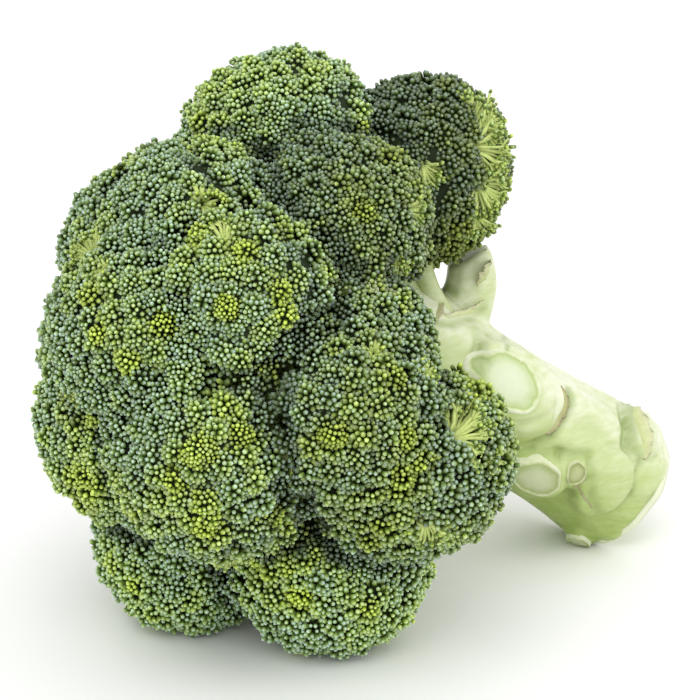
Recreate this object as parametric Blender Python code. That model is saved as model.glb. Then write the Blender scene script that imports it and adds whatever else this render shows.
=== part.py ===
"""Broccoli head lying on its side: one stalk with its shoots, and twenty florets.

Metres, +Z up. The cut end of the stalk points along +X, and the origin is under the middle of the whole head.
"""

import math
import random

import bmesh
import bpy
import numpy as np
from mathutils import Euler, Matrix, Vector

# The stalk leans down from the head to its cut end, whose rim rests on the surface.
stalk_tilt = math.radians(35.0)
stalk_end = Vector((0.1341, 0.0, 0.0182))
towards_end = Vector((math.cos(stalk_tilt), 0.0, -math.sin(stalk_tilt)))
upper_side = Vector((math.sin(stalk_tilt), 0.0, math.cos(stalk_tilt)))
near_side = Vector((0.0, -1.0, 0.0))

# The stalk's radius at distances along its axis from the cut end.
stalk_profile = [
    (0.000, 0.0236),
    (0.005, 0.0240),
    (0.016, 0.0228),
    (0.036, 0.0213),
    (0.058, 0.0208),
    (0.078, 0.0214),
    (0.096, 0.0222),
    (0.110, 0.0210),
    (0.122, 0.0175),
    (0.130, 0.0120),
]
ridge_height = 0.0007
ridges_round = 5
ridge_twist = 45.0
axis_core = 0.001

# The shoots part at the fork, thin towards their waist and flare under their florets.
fork = 0.104
shoot_base_radius = 0.0105
waist_share = 0.80
flare_share = 0.96
flare_power = 5
shoot_bend = 0.030
bend_share = 0.40
approach_share = 0.35
shoot_steps = 8
straight_end = 0.0025
shoot_clearance = 0.0014
stalk_steps = 40

# A stem: where it leaves the axis and which way, the point its floret faces away from, how deep the floret's
# underside is as a share of its radius, where the floret droops and how far, and how thick the stem is.
common_stem = {
    "leaves_at": 0.086,
    "leaves_towards": -towards_end,
    "faces_from": stalk_end - towards_end * 0.128,
    "underside_depth": 0.72,
    "droop": Vector((0.0, 0.0, 0.0)),
    "waist": 1.0,
}
own_stems = {
    "floret_rim": {
        "leaves_towards": Vector((0.0, 0.0, 1.0)),
        "faces_from": Vector((0.0820, -0.0069, 0.0813)),
        "underside_depth": 1.36,
        "droop": Vector((-0.06, -0.19, -0.49)),
        "waist": 1.25,
    },
}

# Cut shoots and leaf scars: distance from the cut end, angle up from the near side, length, width, rise.
stubs = {
    "cut_shoot": (0.074, math.radians(23.0), 0.030, 0.020, 0.0040),
    "cut_shoot_low": (0.046, math.radians(-42.0), 0.024, 0.017, 0.0022),
    "leaf_scar": (0.027, math.radians(-22.0), 0.016, 0.009, 0.0016),
    "end_lip": (0.013, math.radians(44.0), 0.010, 0.018, 0.0026),
    "end_stub": (0.008, math.radians(-72.0), 0.012, 0.009, 0.0018),
    "leaf_scar_far": (0.040, math.radians(150.0), 0.015, 0.012, 0.0016),
    "cut_shoot_far": (0.066, math.radians(196.0), 0.024, 0.015, 0.0024),
}

# How many sides the round shapes have, as steps in each quarter turn.
stalk_roundness = 5
shoot_roundness = 2

stub_flare = 0.85
stub_crown = 0.45
stub_sides = 18
stub_root = 0.010

# Florets: the middle and the radius of each dome of buds.
florets = {
    "floret_top": (Vector((0.019, 0.024, 0.141)), 0.030),
    "floret_rim": (Vector((0.0592, 0.0087, 0.1345)), 0.0265),
    "floret_shoulder": (Vector((0.0101, -0.0200, 0.1283)), 0.0260),
    "floret_crown_far": (Vector((-0.0260, 0.0272, 0.1155)), 0.026),
    "floret_crown_top": (Vector((-0.024, 0.002, 0.123)), 0.029),
    "floret_crown": (Vector((-0.026, -0.023, 0.112)), 0.029),
    "floret_crown_low": (Vector((-0.043, -0.007, 0.102)), 0.030),
    "floret_left": (Vector((-0.0410, 0.0136, 0.0680)), 0.028),
    "floret_low_side": (Vector((-0.039, -0.030, 0.072)), 0.029),
    "floret_bottom_left": (Vector((-0.021, 0.018, 0.024)), 0.026),
    "floret_side_upper": (Vector((0.0015, -0.0362, 0.0976)), 0.024),
    "floret_side": (Vector((-0.009, -0.052, 0.084)), 0.028),
    "floret_side_rim": (Vector((0.010, -0.053, 0.068)), 0.029),
    "floret_bottom": (Vector((0.005, -0.021, 0.027)), 0.029),
    "floret_far_shoulder": (Vector((-0.0060, 0.0430, 0.1120)), 0.0290),
    "floret_far_crown": (Vector((-0.0240, 0.0369, 0.0830)), 0.030),
    "floret_far_rim": (Vector((0.040, 0.044, 0.117)), 0.030),
    "floret_far_side": (Vector((0.016, 0.054, 0.082)), 0.031),
    "floret_far_low": (Vector((-0.006, 0.044, 0.050)), 0.030),
    "floret_under": (Vector((0.022, 0.034, 0.038)), 0.027),
}
# Florets are wider across than deep, and a gap keeps one from touching the next.
gap = 0.0006
widening = 0.10

# Florets of one mass have grown into one another and fill most of the crease between them.
masses = [
    {
        "floret_crown_far",
        "floret_crown_top",
        "floret_crown",
        "floret_crown_low",
        "floret_left",
        "floret_low_side",
        "floret_far_crown",
    },
    {"floret_side_upper", "floret_side", "floret_side_rim"},
    {"floret_far_shoulder", "floret_far_rim"},
    {"floret_far_side", "floret_far_low", "floret_under"},
]
filled_share = 0.70
filled_zone = 0.008
crease_round = 0.0045
seam_round = 0.0015

# The buds stand in clusters, and the clusters in knuckles.
directions_round = 190
plain_every = 3
tip_jitter = 0.05
shows_share = 0.90
cluster_dip = 0.0026
knuckle_rise = 0.0028
knuckle_directions = 34
knuckle_spread = 0.42

# The underside of a floret narrows to the neck that its shoot meets.
underside_slope = math.radians(68.0)
underside_round = 0.004
neck_share = 0.30
neck_gap = 0.0003
least_slant = 0.05
least_opening = 0.01
cut_tolerance = 1e-7
merge_distance = 0.00005
seed = 11

# Colour and roughness.
bud_finish = ((0.10, 0.20, 0.07), 0.7)
stalk_finish = ((0.58, 0.72, 0.36), 0.5)


def smooth_min(first, second, blend):
    """The smaller of two lengths, rounded off where they are nearly alike. It never exceeds either."""
    share = max(blend - abs(first - second), 0.0) / blend
    return min(first, second) - share * share * blend / 4


def on_axis(along):
    """The point of the stalk's axis this far from the cut end."""
    return stalk_end - towards_end * along


def stalk_radius(along):
    stations, radii = zip(*stalk_profile)
    return float(np.interp(along, stations, radii))


def spread_directions(count):
    """Directions spread evenly round a sphere, along a spiral from pole to pole."""
    golden_turn = math.pi * (3 - math.sqrt(5))
    for n in range(count):
        height = 1 - (2 * n + 1) / count
        across = math.sqrt(1 - height * height)
        yield Vector((across * math.cos(n * golden_turn), across * math.sin(n * golden_turn), height))


def random_turn(dice):
    return Euler([dice.uniform(0, math.tau) for _ in range(3)]).to_matrix()


class Floret:
    """One dome of buds: where it sits, which way it faces and how far it reaches in each direction."""

    def __init__(self, name, middle, radius):
        self.name = name
        self.middle = middle
        self.radius = radius
        self.stem = {**common_stem, **own_stems.get(name, {})}
        self.facing = (middle - self.stem["faces_from"]).normalized()
        self.dice = random.Random(f"{seed} {name}")
        turn = random_turn(self.dice)
        self.knuckles = [turn @ way for way in spread_directions(knuckle_directions)]
        self.walls = []
        self.grown_into = []
        self.tip_depth = self.stem["underside_depth"] * radius
        self.neck_radius = neck_share * radius
        self.neck_depth = self.tip_depth - self.neck_radius / math.tan(underside_slope)

    def neck(self):
        return self.middle - self.facing * self.neck_depth

    def lean_on(self, other):
        """Stop at the flat wall where this dome and another press on each other."""
        apart = other.middle - self.middle
        span = apart.length
        reach = (span * span + self.radius**2 - other.radius**2) / (2 * span)
        together = any({self.name, other.name} <= mass for mass in masses)
        self.walls.append((apart / span, reach - gap / 2, seam_round if together else crease_round))
        if together and reach < self.radius:
            crease = (self.radius + other.radius) / 2 - math.sqrt(self.radius**2 - reach**2)
            self.grown_into.append((apart, other.radius, filled_share * crease))

    def clear_stalk(self):
        """Stop short of the stalk."""
        stations = [fork * n / stalk_steps for n in range(stalk_steps + 1)]
        nearest = min(stations, key=lambda along: (on_axis(along) - self.middle).length)
        apart = on_axis(nearest) - self.middle
        self.walls.append((apart.normalized(), apart.length - stalk_radius(nearest) - 2 * gap, crease_round))

    def clear_shoot(self, route, radii):
        """Stop short of another floret's shoot."""
        for place, thickness in zip(route, radii):
            apart = place - self.middle
            self.walls.append((apart.normalized(), apart.length - thickness - shoot_clearance, crease_round))

    def filling(self, way):
        """How much the creases towards the rest of the mass are filled in this direction."""
        fill = 0.0
        for apart, radius, height in self.grown_into:
            outside = (way * self.radius - apart).length - radius
            share = max(1 - abs(outside) / filled_zone, 0.0)
            fill += share * share * height
        return fill

    def reach(self, way):
        """How far the dome goes from its middle in this direction."""
        closest = min(math.acos(min(way.dot(knuckle), 1.0)) for knuckle in self.knuckles)
        hollow = min(closest / knuckle_spread, 1.0) ** 2
        along = way.dot(self.facing)
        across = math.sqrt(max(1 - along * along, 0.0))
        far = self.radius * (1 + widening * across * across) + knuckle_rise * (0.5 - hollow)
        far *= 1 + max(way.dot(self.stem["droop"]), 0.0) ** 2
        far += self.filling(way)
        for normal, distance, rounding in self.walls:
            slant = way.dot(normal)
            if slant > least_slant:
                far = smooth_min(far, distance / slant, rounding)
        opening = across - along * math.tan(underside_slope)
        if opening > least_opening:
            far = smooth_min(far, self.tip_depth * math.tan(underside_slope) / opening, underside_round)
        return far

    def shows(self, way):
        """True where the dome is open to the air, and so covered in buds."""
        return self.reach(way) > shows_share * self.radius


def set_points(bm, floret):
    """Points for the clusters where the dome shows, fewer where it is hidden. Gives the clusters' indices."""
    turn = random_turn(floret.dice)
    tips = set()
    for n, way in enumerate(spread_directions(directions_round)):
        way = turn @ way
        if floret.shows(way):
            shift = Vector([floret.dice.uniform(-tip_jitter, tip_jitter) for _ in range(3)])
            tips.add(len(bm.verts))
            bm.verts.new((way + shift).normalized())
        elif n % plain_every == 0:
            bm.verts.new(way)
    return tips


def build_floret(floret, collection, finish):
    bm = bmesh.new()
    tips = set_points(bm, floret)
    bm.verts.index_update()
    bmesh.ops.convex_hull(bm, input=bm.verts[:])
    budded = [edge for edge in bm.edges if all(vert.index in tips for vert in edge.verts)]
    bmesh.ops.subdivide_edges(bm, edges=budded, cuts=1, use_grid_fill=True)
    bmesh.ops.triangulate(bm, faces=[face for face in bm.faces if len(face.verts) > 3])
    bm.verts.index_update()
    for vert in bm.verts:
        way = vert.co.normalized()
        far = floret.reach(way)
        if vert.index not in tips and floret.shows(way):
            far -= cluster_dip
        if way.z < 0:
            far = min(far, floret.middle.z / -way.z)
        vert.co = floret.middle + way * far
    cut = bmesh.ops.bisect_plane(
        bm,
        geom=bm.verts[:] + bm.edges[:] + bm.faces[:],
        dist=cut_tolerance,
        plane_co=floret.neck(),
        plane_no=-floret.facing,
        clear_outer=True,
    )
    rim = [item for item in cut["geom_cut"] if isinstance(item, bmesh.types.BMEdge)]
    bmesh.ops.contextual_create(bm, geom=rim)
    bmesh.ops.recalc_face_normals(bm, faces=bm.faces[:])
    return place_mesh(bm, floret.name, collection, finish)


def place_mesh(bm, name, collection, finish=None):
    """Turn the bmesh into an object in the collection."""
    mesh = bpy.data.meshes.new(name)
    bm.to_mesh(mesh)
    bm.free()
    if finish:
        mesh.materials.append(finish)
    obj = bpy.data.objects.new(name, mesh)
    collection.objects.link(obj)
    return obj


def tube(name, points, radii, resolution, collection):
    """A closed round tube along the points, as a mesh object."""
    curve = bpy.data.curves.new(name, "CURVE")
    curve.dimensions = "3D"
    curve.bevel_depth = 1.0
    curve.bevel_resolution = resolution
    curve.use_fill_caps = True
    spline = curve.splines.new("POLY")
    spline.points.add(len(points) - 1)
    for knot, place, radius in zip(spline.points, points, radii):
        knot.co = (*place, 1.0)
        knot.radius = radius
    line = bpy.data.objects.new(name + "_line", curve)
    collection.objects.link(line)
    graph = bpy.context.evaluated_depsgraph_get()
    mesh = bpy.data.meshes.new_from_object(line.evaluated_get(graph))
    bm = bmesh.new()
    bm.from_mesh(mesh)
    bm.transform(line.matrix_world)
    bmesh.ops.remove_doubles(bm, verts=bm.verts[:], dist=merge_distance)
    bmesh.ops.recalc_face_normals(bm, faces=bm.faces[:])
    bpy.data.meshes.remove(mesh)
    bpy.data.objects.remove(line)
    return place_mesh(bm, name, collection)


def shoot_route(floret):
    """A smooth line that leaves the stalk's axis and ends square to the floret's neck."""
    start = on_axis(floret.stem["leaves_at"])
    end = floret.neck() - floret.facing * neck_gap
    span = (end - start).length
    out = start + floret.stem["leaves_towards"] * min(shoot_bend, bend_share * span)
    back = end - floret.facing * approach_share * span
    route = []
    for n in range(shoot_steps + 1):
        t = n / shoot_steps
        s = 1 - t
        route.append(start * s**3 + out * 3 * s * s * t + back * 3 * s * t * t + end * t**3)
    route.insert(-1, end - floret.facing * straight_end)
    return route


def shoot_radii(floret):
    """Thick at the stalk, slimmer along the way and flared again under the buds."""
    radii = []
    for n in range(shoot_steps + 1):
        t = n / shoot_steps
        waist = waist_share * floret.stem["waist"] * floret.neck_radius
        flare = (flare_share * floret.neck_radius - waist) * t**flare_power
        radii.append(shoot_base_radius * (1 - t) + waist * t + flare)
    radii.insert(-1, radii[-1])
    return radii


def build_stub(name, along, angle, length, width, rise, collection):
    """A low oval pad on the stalk, sunk well in."""
    outwards = near_side * math.cos(angle) + upper_side * math.sin(angle)
    sideways = outwards.cross(towards_end)
    height = 2 * rise + stub_root
    bm = bmesh.new()
    bmesh.ops.create_cone(
        bm, cap_ends=True, segments=stub_sides, radius1=stub_flare, radius2=stub_crown, depth=1.0
    )
    bmesh.ops.scale(bm, vec=(length, width, height), verts=bm.verts[:])
    place = on_axis(along) + outwards * (stalk_radius(along) + rise - height / 2)
    frame = Matrix((towards_end, sideways, outwards)).transposed().to_4x4()
    bm.transform(Matrix.Translation(place) @ frame)
    return place_mesh(bm, name, collection)


def ridge_stalk(stalk):
    """Low ridges along the stalk, under the old leaf bases."""
    for vert in stalk.data.vertices:
        along = (stalk_end - vert.co).dot(towards_end)
        spoke = vert.co - on_axis(along)
        if spoke.length < axis_core:
            continue
        angle = math.atan2(spoke.dot(upper_side), spoke.dot(near_side))
        twist = angle * ridges_round + along * ridge_twist
        vert.co += spoke.normalized() * ridge_height * math.sin(twist)


def build_stalk(everyone, collection, finish):
    helpers = bpy.data.collections.new("shoots")
    bpy.context.scene.collection.children.link(helpers)
    stations, radii = zip(*stalk_profile)
    stalk = tube("stalk", [on_axis(along) for along in stations], radii, stalk_roundness, collection)
    ridge_stalk(stalk)
    for floret in everyone:
        tube("shoot_" + floret.name, shoot_route(floret), shoot_radii(floret), shoot_roundness, helpers)
    for name, sizes in stubs.items():
        build_stub(name, *sizes, helpers)
    union = stalk.modifiers.new("grown together", "BOOLEAN")
    union.operation = "UNION"
    union.operand_type = "COLLECTION"
    union.collection = helpers
    union.solver = "MANIFOLD"
    graph = bpy.context.evaluated_depsgraph_get()
    bm = bmesh.new()
    bm.from_object(stalk, graph)
    for obj in [stalk, *helpers.objects]:
        bpy.data.objects.remove(obj)
    bpy.data.collections.remove(helpers)
    flatten_foot(bm)
    return place_mesh(bm, "stalk", collection, finish)


def flatten_foot(bm):
    """Cut the lowest sliver off at the surface that the stalk lies on."""
    cut = bmesh.ops.bisect_plane(
        bm,
        geom=bm.verts[:] + bm.edges[:] + bm.faces[:],
        dist=cut_tolerance,
        plane_co=(0.0, 0.0, 0.0),
        plane_no=(0.0, 0.0, -1.0),
        clear_outer=True,
    )
    rim = [item for item in cut["geom_cut"] if isinstance(item, bmesh.types.BMEdge)]
    if rim:
        bmesh.ops.contextual_create(bm, geom=rim)
    bmesh.ops.recalc_face_normals(bm, faces=bm.faces[:])


def make_finish(name, colour, roughness):
    finish = bpy.data.materials.new(name)
    finish.use_nodes = True
    shader = finish.node_tree.nodes["Principled BSDF"]
    shader.inputs["Base Color"].default_value = (*colour, 1.0)
    shader.inputs["Roughness"].default_value = roughness
    shader.inputs["Metallic"].default_value = 0.0
    return finish


def centre_origin(objects):
    """Move the head so that the origin is under the middle of its bounding box."""
    corners = [Vector(corner) for obj in objects for corner in obj.bound_box]
    middle_x = (min(c.x for c in corners) + max(c.x for c in corners)) / 2
    middle_y = (min(c.y for c in corners) + max(c.y for c in corners)) / 2
    for obj in objects:
        obj.location = (-middle_x, -middle_y, 0.0)


def main():
    for obj in list(bpy.data.objects):
        bpy.data.objects.remove(obj)
    broccoli = bpy.data.collections.new("broccoli head")
    bpy.context.scene.collection.children.link(broccoli)
    bud_green = make_finish("bud_green", *bud_finish)
    stalk_green = make_finish("stalk_green", *stalk_finish)
    everyone = [Floret(name, *shape) for name, shape in florets.items()]
    for floret in everyone:
        for other in everyone:
            if other is not floret:
                floret.lean_on(other)
                floret.clear_shoot(shoot_route(other), shoot_radii(other))
        floret.clear_stalk()
    pieces = [build_floret(floret, broccoli, bud_green) for floret in everyone]
    pieces.append(build_stalk(everyone, broccoli, stalk_green))
    centre_origin(pieces)


main()
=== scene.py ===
import math
import random

import bmesh
import bpy
import numpy as np
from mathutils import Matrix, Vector, kdtree, noise
from mathutils.bvhtree import BVHTree


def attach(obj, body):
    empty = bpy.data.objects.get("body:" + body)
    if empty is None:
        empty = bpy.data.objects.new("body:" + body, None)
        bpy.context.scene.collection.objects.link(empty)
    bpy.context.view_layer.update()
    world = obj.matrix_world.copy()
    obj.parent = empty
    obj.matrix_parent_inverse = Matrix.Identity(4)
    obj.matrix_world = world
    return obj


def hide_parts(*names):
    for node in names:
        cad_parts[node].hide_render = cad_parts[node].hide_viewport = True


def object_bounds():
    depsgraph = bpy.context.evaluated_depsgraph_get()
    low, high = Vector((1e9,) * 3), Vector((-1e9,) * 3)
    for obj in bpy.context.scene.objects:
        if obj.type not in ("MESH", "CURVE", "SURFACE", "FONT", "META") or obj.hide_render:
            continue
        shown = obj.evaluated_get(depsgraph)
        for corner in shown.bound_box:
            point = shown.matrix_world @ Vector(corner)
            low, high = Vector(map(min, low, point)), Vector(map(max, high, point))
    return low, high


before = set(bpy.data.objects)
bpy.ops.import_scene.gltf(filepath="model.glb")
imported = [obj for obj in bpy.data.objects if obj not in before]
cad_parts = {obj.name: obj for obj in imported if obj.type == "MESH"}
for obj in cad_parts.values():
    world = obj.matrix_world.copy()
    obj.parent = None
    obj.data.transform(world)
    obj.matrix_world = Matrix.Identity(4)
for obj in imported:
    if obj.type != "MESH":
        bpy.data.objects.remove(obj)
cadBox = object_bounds()
lowCorner, highCorner = Vector(cadBox[0]), Vector(cadBox[1])
print("frame loaded:", len(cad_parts), "nodes")

# Camera: the photograph's frame is 700 pixels square.
cameraSettings = {
    "target": (-0.01898, -0.01562, 0.088),
    "azimuth": math.radians(35.0),  # from the -Y side, round towards -X
    "elevation": math.radians(18.0),
    "distance": 0.75,
    "lens": 131.1,
    "sensor": 36.0,
    "frame": 700,
    "clipStart": 0.02,
}
turn, lift = cameraSettings["azimuth"], cameraSettings["elevation"]
cameraLook = Vector((math.sin(turn) * math.cos(lift), math.cos(turn) * math.cos(lift), -math.sin(lift)))
cameraRight = cameraLook.cross(Vector((0, 0, 1))).normalized()
cameraUp = cameraRight.cross(cameraLook)
cameraEye = Vector(cameraSettings["target"]) - cameraLook * cameraSettings["distance"]


def addObject(name, data):
    made = bpy.data.objects.new(name, data)
    bpy.context.scene.collection.objects.link(made)
    return made


def placeCamera():
    data = bpy.data.cameras.new("camera")
    data.lens = cameraSettings["lens"]
    data.sensor_width = cameraSettings["sensor"]
    data.clip_start = cameraSettings["clipStart"]
    camera = addObject("camera", data)
    camera.location = cameraEye
    camera.rotation_euler = cameraLook.to_track_quat("-Z", "Y").to_euler()
    bpy.context.scene.camera = camera


def pixelRay(x, y):
    # Where the photograph's pixel looks from, and which way.
    half = cameraSettings["frame"] / 2
    focal = cameraSettings["frame"] * cameraSettings["lens"] / cameraSettings["sensor"]
    way = cameraLook + cameraRight * ((x - half) / focal) + cameraUp * ((half - y) / focal)
    return cameraEye, way.normalized()


# Floor and light: a white table in a soft white surround.
studio = {
    "floorSize": 6.0,
    "floorColour": (0.93, 0.93, 0.925),
    "floorDim": 0.985,
    "surround": 1.04,
    "lights": {  # power, size and place
        "keyLight": (19.5, 1.5, (-0.95, -1.05, 1.75)),
        "fillLight": (5.0, 1.6, (1.5, -1.2, 0.9)),
    },
    "lightsAim": (0, 0, 0.06),
}


def buildStudio():
    world = bpy.data.worlds.new("white surround")
    world.use_nodes = True
    backdrop = world.node_tree.nodes["Background"]
    backdrop.inputs["Color"].default_value = (1, 1, 1, 1)
    backdrop.inputs["Strength"].default_value = studio["surround"]
    bpy.context.scene.world = world
    for name, (power, size, place) in studio["lights"].items():
        data = bpy.data.lights.new(name, "AREA")
        data.energy, data.size = power, size
        light = addObject(name, data)
        light.location = place
        light.rotation_euler = (Vector(studio["lightsAim"]) - Vector(place)).to_track_quat("-Z", "Y").to_euler()
    bm = bmesh.new()
    bmesh.ops.create_grid(bm, x_segments=1, y_segments=1, size=studio["floorSize"] / 2)
    floor = makePiece(bm, "floor", [floorPaint()])
    bpy.context.scene.view_settings.view_transform = "Standard"


def meshOf(bm, name):
    mesh = bpy.data.meshes.new(name)
    bm.to_mesh(mesh)
    bm.free()
    return mesh


def makePiece(bm, name, materials):
    mesh = meshOf(bm, name)
    for material in materials:
        mesh.materials.append(material)
    mesh.shade_smooth()
    return addObject(name, mesh)


def setAttributes(mesh, **values):
    # Each value is one number for every point, or a number for each of them.
    for name, value in values.items():
        layer = mesh.attributes.new(name, "FLOAT", "POINT")
        layer.data.foreach_set("value", np.broadcast_to(value, len(mesh.vertices)).astype(np.float32))


def trianglesOf(mesh):
    return sum(len(face.vertices) - 2 for face in mesh.polygons)


# Materials.
def mottleGroup():
    # The uneven tone that every surface of the plant has, as a mask from 0 to 1.
    if "mottle" in bpy.data.node_groups:
        return bpy.data.node_groups["mottle"]
    group = bpy.data.node_groups.new("mottle", "ShaderNodeTree")
    inside, outside = group.nodes.new("NodeGroupInput"), group.nodes.new("NodeGroupOutput")
    cloud = group.nodes.new("ShaderNodeTexNoise")
    cloud.inputs["Detail"].default_value = 3.0
    for name, kind in (("Vector", "Vector"), ("Scale", "Float"), ("Roughness", "Float")):
        group.interface.new_socket(name, in_out="INPUT", socket_type="NodeSocket" + kind)
        group.links.new(inside.outputs[name], cloud.inputs[name])
    group.interface.new_socket("Mask", in_out="OUTPUT", socket_type="NodeSocketFloat")
    group.links.new(cloud.outputs["Fac"], outside.inputs["Mask"])
    return group


class Paint:
    def __init__(self, name, roughness, specular=0.5):
        self.material = bpy.data.materials.new(name)
        self.material.use_nodes = True
        self.tree = self.material.node_tree
        self.shader = self.tree.nodes["Principled BSDF"]
        self.put(roughness, self.shader.inputs["Roughness"])
        self.put(specular, self.shader.inputs["Specular IOR Level"])

    def node(self, kind, **settings):
        made = self.tree.nodes.new(kind)
        for key, value in settings.items():
            setattr(made, key, value)
        return made

    def put(self, value, socket):
        # Links another node's output, or sets a number or a colour.
        if isinstance(value, bpy.types.NodeSocket):
            self.tree.links.new(value, socket)
        else:
            socket.default_value = (*value, 1) if isinstance(value, tuple) else value

    def attribute(self, name):
        return self.node("ShaderNodeAttribute", attribute_name=name).outputs["Fac"]

    def mottle(self, scale, roughness=0.5, turn=None, stretch=None):
        made = self.node("ShaderNodeGroup", node_tree=mottleGroup())
        point = self.node("ShaderNodeTexCoord").outputs["Object"]
        if turn:
            mapping = self.node("ShaderNodeMapping")
            mapping.inputs["Rotation"].default_value = turn
            mapping.inputs["Scale"].default_value = stretch
            self.put(point, mapping.inputs["Vector"])
            point = mapping.outputs["Vector"]
        for name, value in (("Vector", point), ("Scale", scale), ("Roughness", roughness)):
            self.put(value, made.inputs[name])
        return made.outputs["Mask"]

    def drift(self, value, scale, amount):
        # The value, made uneven by this amount.
        swing = self.math("MULTIPLY", self.math("SUBTRACT", self.mottle(scale), 0.5), amount)
        return self.math("ADD", value, swing, clamp=True)

    def ramp(self, value, stops):
        made = self.node("ShaderNodeValToRGB")
        elements = made.color_ramp.elements
        elements[0].position, elements[-1].position = stops[0][0], stops[-1][0]
        for place, _ in stops[1:-1]:
            elements.new(place)
        for element, (_, colour) in zip(elements, stops):
            element.color = (*colour, 1) if isinstance(colour, tuple) else (colour, colour, colour, 1)
        self.put(value, made.inputs["Fac"])
        return made.outputs["Color"]

    def mix(self, share, first, second, blend="MIX"):
        made = self.node("ShaderNodeMix", data_type="RGBA", blend_type=blend)
        for index, value in ((0, share), (6, first), (7, second)):
            self.put(value, made.inputs[index])
        return made.outputs[2]

    def math(self, operation, first, second, clamp=False):
        made = self.node("ShaderNodeMath", operation=operation, use_clamp=clamp)
        self.put(first, made.inputs[0])
        self.put(second, made.inputs[1])
        return made.outputs[0]

    def bump(self, height, strength, distance):
        made = self.node("ShaderNodeBump")
        for name, value in (("Strength", strength), ("Distance", distance), ("Height", height)):
            self.put(value, made.inputs[name])
        self.put(made.outputs["Normal"], self.shader.inputs["Normal"])

    def colour(self, source):
        self.put(source, self.shader.inputs["Base Color"])


def floorPaint():
    paint = Paint("whiteTable", roughness=0.8, specular=0.2)
    dim = tuple(studio["floorDim"] * value for value in studio["floorColour"])
    paint.colour(paint.ramp(paint.mottle(scale=3.0), [(0.3, dim), (0.7, studio["floorColour"])]))
    return paint.material


# Colours from the dark base of a bud to its pale tip, and how dark and light its tone makes it. The dark base is
# painted shade between the buds; the pale tip is partly the bud's own bloom, partly a painted highlight.
budColours = {
    "green": [(0.38, (0.085, 0.140, 0.030)), (0.66, (0.170, 0.270, 0.085)), (0.94, (0.430, 0.558, 0.515))],
    "yellow": [(0.32, (0.110, 0.170, 0.012)), (0.64, (0.330, 0.450, 0.035)), (0.97, (0.580, 0.680, 0.140))],
    "tone": [(0.0, 0.45), (1.0, 1.45)],
}


def budPaint():
    paint = Paint("budSkin", roughness=0.42)
    rise = paint.attribute("rise")
    ripe = paint.drift(paint.attribute("ripe"), scale=260.0, amount=0.5)
    skin = paint.mix(ripe, paint.ramp(rise, budColours["green"]), paint.ramp(rise, budColours["yellow"]))
    # The tone darkens and lightens the skin: random tone, and painted light and shade of florets, creases and
    # crevices.
    paint.colour(paint.mix(1.0, skin, paint.ramp(paint.attribute("tone"), budColours["tone"]), "MULTIPLY"))
    paint.bump(paint.mottle(scale=2600.0), strength=0.25, distance=0.0003)
    return paint.material


# The darkest stop colours the core under the buds nearly black: painted shade between the buds. The paler stops are
# the real pale stems and undersides.
fleshAndShadeColours = [(0.08, (0.012, 0.022, 0.004)), (0.42, (0.200, 0.300, 0.040)), (0.95, (0.640, 0.740, 0.260))]


def fleshAndShadePaint():
    paint = Paint("floretFleshAndShade", roughness=0.7, specular=0.25)
    paint.colour(paint.ramp(paint.drift(paint.attribute("pale"), scale=420.0, amount=0.45), fleshAndShadeColours))
    paint.bump(paint.mottle(scale=1500.0), strength=0.3, distance=0.0003)
    return paint.material


# Florets: middle and radius of each dome, the width of its buds, and how light its buds are painted: painted light
# and shade, darker on florets that lie in shade such as the rim and shoulder, lighter on those low on the head.
florets = {
    "floret_top": ((-0.0180, 0.0225, 0.1410), 0.0300, 0.00127, 1.08),
    "floret_rim": ((0.0222, 0.0072, 0.1345), 0.0265, 0.00138, 0.61),
    "floret_shoulder": ((-0.0269, -0.0215, 0.1283), 0.0260, 0.00130, 0.76),
    "floret_crown_far": ((-0.0630, 0.0257, 0.1155), 0.0260, 0.00132, 1.00),
    "floret_crown_top": ((-0.0610, 0.0005, 0.1230), 0.0290, 0.00125, 1.02),
    "floret_crown": ((-0.0630, -0.0245, 0.1120), 0.0290, 0.00125, 1.02),
    "floret_crown_low": ((-0.0800, -0.0085, 0.1020), 0.0300, 0.00123, 1.02),
    "floret_left": ((-0.0780, 0.0121, 0.0680), 0.0280, 0.00129, 1.09),
    "floret_low_side": ((-0.0760, -0.0315, 0.0720), 0.0290, 0.00132, 1.03),
    "floret_bottom_left": ((-0.0580, 0.0165, 0.0240), 0.0260, 0.00137, 1.27),
    "floret_side_upper": ((-0.0355, -0.0377, 0.0976), 0.0240, 0.00131, 0.91),
    "floret_side": ((-0.0460, -0.0535, 0.0840), 0.0280, 0.00134, 0.89),
    "floret_side_rim": ((-0.0270, -0.0545, 0.0680), 0.0290, 0.00141, 0.91),
    "floret_bottom": ((-0.0320, -0.0225, 0.0270), 0.0290, 0.00137, 1.22),
    "floret_far_shoulder": ((-0.0430, 0.0415, 0.1120), 0.0290, 0.00164, 0.96),
    "floret_far_crown": ((-0.0610, 0.0354, 0.0830), 0.0300, 0.00164, 0.98),
    "floret_far_rim": ((0.0030, 0.0425, 0.1170), 0.0300, 0.00174, 0.94),
    "floret_far_side": ((-0.0210, 0.0525, 0.0820), 0.0310, 0.00174, 0.96),
    "floret_far_low": ((-0.0430, 0.0425, 0.0500), 0.0300, 0.00170, 1.00),
    "floret_under": ((-0.0150, 0.0325, 0.0380), 0.0270, 0.00170, 1.02),
}
# A floret faces away from a point inside the fork, and its underside is a wide cone whose tip lies this
# share of its radius behind its middle. The rim floret sits on a branch of its own.
facesFrom = {"rest": (-0.007736, -0.001520, 0.091621), "floret_rim": (0.045022, -0.008420, 0.081300)}
tipShare = {"rest": 0.72, "floret_rim": 1.36}


def floretPose(name):
    # The way a floret faces, and the tip of its underside's cone.
    middle, radius = Vector(florets[name][0]), florets[name][1]
    facing = (middle - Vector(facesFrom.get(name, facesFrom["rest"]))).normalized()
    return facing, middle - facing * radius * tipShare.get(name, tipShare["rest"])


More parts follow.
